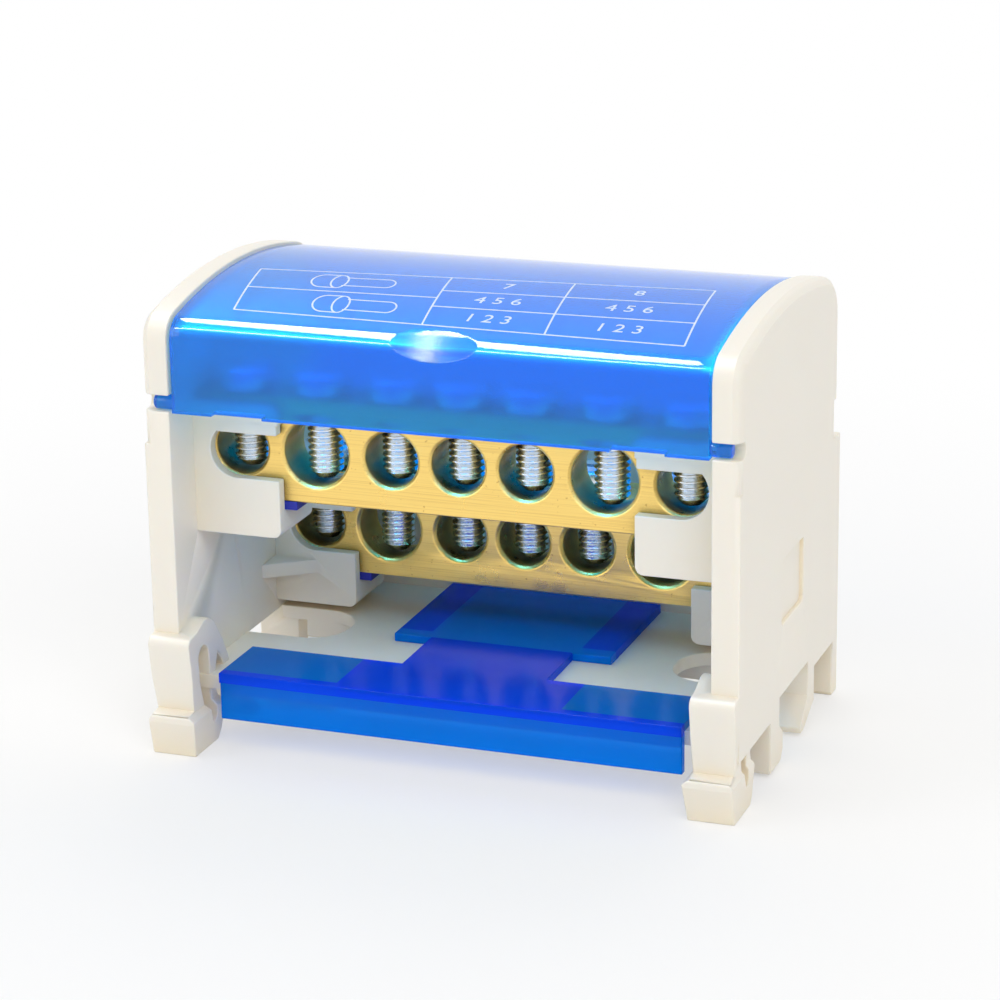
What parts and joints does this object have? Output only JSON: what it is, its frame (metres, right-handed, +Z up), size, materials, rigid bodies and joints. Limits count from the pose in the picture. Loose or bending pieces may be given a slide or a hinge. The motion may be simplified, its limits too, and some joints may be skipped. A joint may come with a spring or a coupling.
{
  "type": "power distribution block",
  "caption": "Rail-mounted power distribution block: brass bars with clamping screws in an open-fronted moulded housing, under a hinged clear cover.",
  "frame": {"origin": "on the ground under the middle of the block's overall box", "axes": "+X along the bars, +Y from the wire entry side to the back, +Z up from the rail"},
  "size_m": [0.067, 0.0432, 0.052],
  "materials": {
    "ivory_plastic": "satin moulded",
    "clear_blue": "clear, gloss outside and frosted inside",
    "deep_blue": "clear, gloss",
    "brass": "milled",
    "screw_steel": "bright zinc plated",
    "blue_wedge": "satin moulded"
  },
  "bodies": {
    "base": {"housing": "ivory_plastic", "front_bar": "brass", "rear_bar": "brass", "front_left_wedge": "blue_wedge", "front_right_wedge": "blue_wedge", "rear_left_wedge": "blue_wedge", "rear_right_wedge": "blue_wedge"},
    "cover": {"cover": "clear_blue"},
    "screen": {"slide_screen": "deep_blue"},
    "front_screw_1": {"front_screw_1": "screw_steel"},
    "front_screw_2": {"front_screw_2": "screw_steel"},
    "front_screw_3": {"front_screw_3": "screw_steel"},
    "front_screw_4": {"front_screw_4": "screw_steel"},
    "front_screw_5": {"front_screw_5": "screw_steel"},
    "front_screw_6": {"front_screw_6": "screw_steel"},
    "front_screw_7": {"front_screw_7": "screw_steel"},
    "rear_screw_1": {"rear_screw_1": "screw_steel"},
    "rear_screw_2": {"rear_screw_2": "screw_steel"},
    "rear_screw_3": {"rear_screw_3": "screw_steel"},
    "rear_screw_4": {"rear_screw_4": "screw_steel"},
    "rear_screw_5": {"rear_screw_5": "screw_steel"},
    "rear_screw_6": {"rear_screw_6": "screw_steel"},
    "rear_screw_7": {"rear_screw_7": "screw_steel"}
  },
  "joints": [
    {"name": "cover_hinge", "type": "hinge", "parent": "base", "child": "cover", "pos_m": [0, -0.0181, 0.04], "axis": [1, 0, 0], "range_deg": [0, 110]},
    {"name": "screen_slide", "type": "slide", "parent": "base", "child": "screen", "axis": [0, -1, 0], "range_m": [0, 0.018]},
    {"name": "front_screw_1_travel", "type": "slide", "parent": "base", "child": "front_screw_1", "axis": [0, 0, 1], "range_m": [-0.0002, 0.006]},
    {"name": "front_screw_2_travel", "type": "slide", "parent": "base", "child": "front_screw_2", "axis": [0, 0, 1], "range_m": [-0.0002, 0.006]},
    {"name": "front_screw_3_travel", "type": "slide", "parent": "base", "child": "front_screw_3", "axis": [0, 0, 1], "range_m": [-0.0002, 0.006]},
    {"name": "front_screw_4_travel", "type": "slide", "parent": "base", "child": "front_screw_4", "axis": [0, 0, 1], "range_m": [-0.0002, 0.006]},
    {"name": "front_screw_5_travel", "type": "slide", "parent": "base", "child": "front_screw_5", "axis": [0, 0, 1], "range_m": [-0.0002, 0.006]},
    {"name": "front_screw_6_travel", "type": "slide", "parent": "base", "child": "front_screw_6", "axis": [0, 0, 1], "range_m": [-0.0002, 0.006]},
    {"name": "front_screw_7_travel", "type": "slide", "parent": "base", "child": "front_screw_7", "axis": [0, 0, 1], "range_m": [-0.0002, 0.006]},
    {"name": "rear_screw_1_travel", "type": "slide", "parent": "base", "child": "rear_screw_1", "axis": [0, 0, 1], "range_m": [-0.0002, 0.006]},
    {"name": "rear_screw_2_travel", "type": "slide", "parent": "base", "child": "rear_screw_2", "axis": [0, 0, 1], "range_m": [-0.0002, 0.006]},
    {"name": "rear_screw_3_travel", "type": "slide", "parent": "base", "child": "rear_screw_3", "axis": [0, 0, 1], "range_m": [-0.0002, 0.006]},
    {"name": "rear_screw_4_travel", "type": "slide", "parent": "base", "child": "rear_screw_4", "axis": [0, 0, 1], "range_m": [-0.0002, 0.006]},
    {"name": "rear_screw_5_travel", "type": "slide", "parent": "base", "child": "rear_screw_5", "axis": [0, 0, 1], "range_m": [-0.0002, 0.006]},
    {"name": "rear_screw_6_travel", "type": "slide", "parent": "base", "child": "rear_screw_6", "axis": [0, 0, 1], "range_m": [-0.0002, 0.006]},
    {"name": "rear_screw_7_travel", "type": "slide", "parent": "base", "child": "rear_screw_7", "axis": [0, 0, 1], "range_m": [-0.0002, 0.006]}
  ]
}
